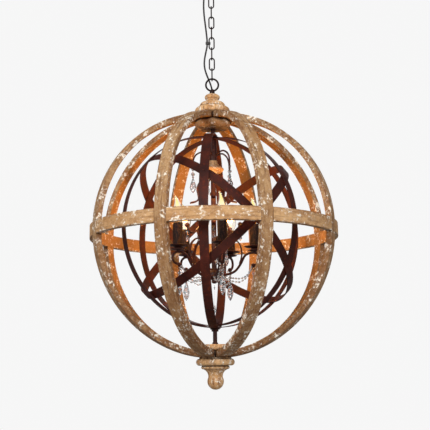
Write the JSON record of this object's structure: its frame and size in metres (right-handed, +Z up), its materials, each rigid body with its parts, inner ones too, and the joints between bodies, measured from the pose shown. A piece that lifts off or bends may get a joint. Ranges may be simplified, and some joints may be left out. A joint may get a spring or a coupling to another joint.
{
  "type": "orb chandelier",
  "caption": "Wooden orb of curved ribs round an orb of riveted iron hoops, with a candle chandelier and crystals inside, hung by a ring and chain from a ceiling canopy.",
  "frame": {"origin": "middle of the canopy's face on the ceiling, midway between the two ceiling screws", "axes": "+Z up, out of the ceiling face; the chandelier hangs down along -Z; +X runs along the row of ceiling screws; the pictured side faces -Y"},
  "size_m": [0.6199, 0.6198, 1.0623],
  "materials": {
    "weathered_wood": "distressed, matt",
    "iron_hoop": "rusty brown, matt",
    "rusty_iron": "rusty brown, matt",
    "plated_steel": "zinc plated",
    "black_plastic": "matt",
    "cord_sheath": "matt",
    "candle_bark": "rough, bark-like",
    "socket_plastic": "matt",
    "bulb_glass": "clear, lit",
    "crystal": "clear, polished"
  },
  "bodies": {
    "canopy": {"canopy": "rusty_iron", "canopy_bracket": "plated_steel", "canopy_nipple": "plated_steel", "canopy_loop": "rusty_iron", "cord_grip": "black_plastic", "cord_upper": "cord_sheath"},
    "chain": {"chain_links": "rusty_iron", "hanging_ring": "rusty_iron", "cord_tie": "black_plastic", "cord_lower": "cord_sheath"},
    "fixture": {"rib_1": "weathered_wood", "rib_2": "weathered_wood", "rib_3": "weathered_wood", "rib_4": "weathered_wood", "rib_5": "weathered_wood", "rib_6": "weathered_wood", "rib_7": "weathered_wood", "rib_8": "weathered_wood", "equator_band": "weathered_wood", "top_cap": "weathered_wood", "top_bun": "weathered_wood", "bottom_disc": "weathered_wood", "finial": "weathered_wood", "wood_bell": "weathered_wood", "strap_hoop_front": "iron_hoop", "strap_hoop_left": "iron_hoop", "strap_hoop_tilted_right": "iron_hoop", "strap_hoop_right": "iron_hoop", "strap_hoop_tilted_left": "iron_hoop", "hoop_rivets": "iron_hoop", "crown_hooks": "rusty_iron", "scroll_straps": "rusty_iron", "arm_hub": "rusty_iron", "centre_column": "rusty_iron", "stem_tube": "rusty_iron", "stem_nuts": "rusty_iron", "bottom_rod": "rusty_iron", "collar_loop": "rusty_iron", "supply_wire": "cord_sheath", "drip_cups": "rusty_iron", "drip_pans": "rusty_iron", "candle_sleeves": "candle_bark", "lamp_sockets": "socket_plastic", "bulbs": "bulb_glass", "garlands": "crystal", "arm_1": "rusty_iron", "arm_2": "rusty_iron", "arm_3": "rusty_iron", "arm_4": "rusty_iron", "arm_5": "rusty_iron"},
    "crown_drop_1_body": {"crown_drop_1": "crystal"},
    "crown_drop_2_body": {"crown_drop_2": "crystal"},
    "crown_drop_3_body": {"crown_drop_3": "crystal"},
    "crown_drop_4_body": {"crown_drop_4": "crystal"},
    "crown_drop_5_body": {"crown_drop_5": "crystal"},
    "arm_drop_1_body": {"arm_drop_1": "crystal"},
    "arm_drop_2_body": {"arm_drop_2": "crystal"},
    "arm_drop_3_body": {"arm_drop_3": "crystal"},
    "arm_drop_4_body": {"arm_drop_4": "crystal"},
    "arm_drop_5_body": {"arm_drop_5": "crystal"}
  },
  "joints": [
    {"name": "chain_swing", "type": "hinge", "parent": "canopy", "child": "chain", "pos_m": [0, 0, -0.0484], "axis": [0, 1, 0], "range_deg": [-12, 12], "deforming": ["cord_upper"]},
    {"name": "fixture_swing", "type": "hinge", "parent": "chain", "child": "fixture", "pos_m": [0, 0, -0.30305], "axis": [1, 0, 0], "range_deg": [-12, 12], "deforming": ["cord_lower"]},
    {"name": "crown_drop_1_swing", "type": "hinge", "parent": "fixture", "child": "crown_drop_1_body", "pos_m": [-0.0515, 0, -0.51325], "axis": [-1, 0, 0], "range_deg": [-20, 20]},
    {"name": "crown_drop_2_swing", "type": "hinge", "parent": "fixture", "child": "crown_drop_2_body", "pos_m": [-0.01591, -0.04898, -0.51325], "axis": [-0.309, -0.9511, 0], "range_deg": [-20, 20]},
    {"name": "crown_drop_3_swing", "type": "hinge", "parent": "fixture", "child": "crown_drop_3_body", "pos_m": [0.04166, -0.03027, -0.51325], "axis": [0.809, -0.5878, 0], "range_deg": [-20, 20]},
    {"name": "crown_drop_4_swing", "type": "hinge", "parent": "fixture", "child": "crown_drop_4_body", "pos_m": [0.04166, 0.03027, -0.51325], "axis": [0.809, 0.5878, 0], "range_deg": [-20, 20]},
    {"name": "crown_drop_5_swing", "type": "hinge", "parent": "fixture", "child": "crown_drop_5_body", "pos_m": [-0.01591, 0.04898, -0.51325], "axis": [-0.309, 0.9511, 0], "range_deg": [-20, 20]},
    {"name": "arm_drop_1_swing", "type": "hinge", "parent": "fixture", "child": "arm_drop_1_body", "pos_m": [0.01954, -0.09603, -0.76995], "axis": [0.1994, -0.9799, 0], "range_deg": [-20, 20]},
    {"name": "arm_drop_2_swing", "type": "hinge", "parent": "fixture", "child": "arm_drop_2_body", "pos_m": [0.09737, -0.01109, -0.76995], "axis": [0.9936, -0.1132, 0], "range_deg": [-20, 20]},
    {"name": "arm_drop_3_swing", "type": "hinge", "parent": "fixture", "child": "arm_drop_3_body", "pos_m": [0.04064, 0.08918, -0.76995], "axis": [0.4147, 0.91, 0], "range_deg": [-20, 20]},
    {"name": "arm_drop_4_swing", "type": "hinge", "parent": "fixture", "child": "arm_drop_4_body", "pos_m": [-0.07225, 0.06621, -0.76995], "axis": [-0.7373, 0.6756, 0], "range_deg": [-20, 20]},
    {"name": "arm_drop_5_swing", "type": "hinge", "parent": "fixture", "child": "arm_drop_5_body", "pos_m": [-0.08529, -0.04826, -0.76995], "axis": [-0.8704, -0.4924, 0], "range_deg": [-20, 20]}
  ]
}
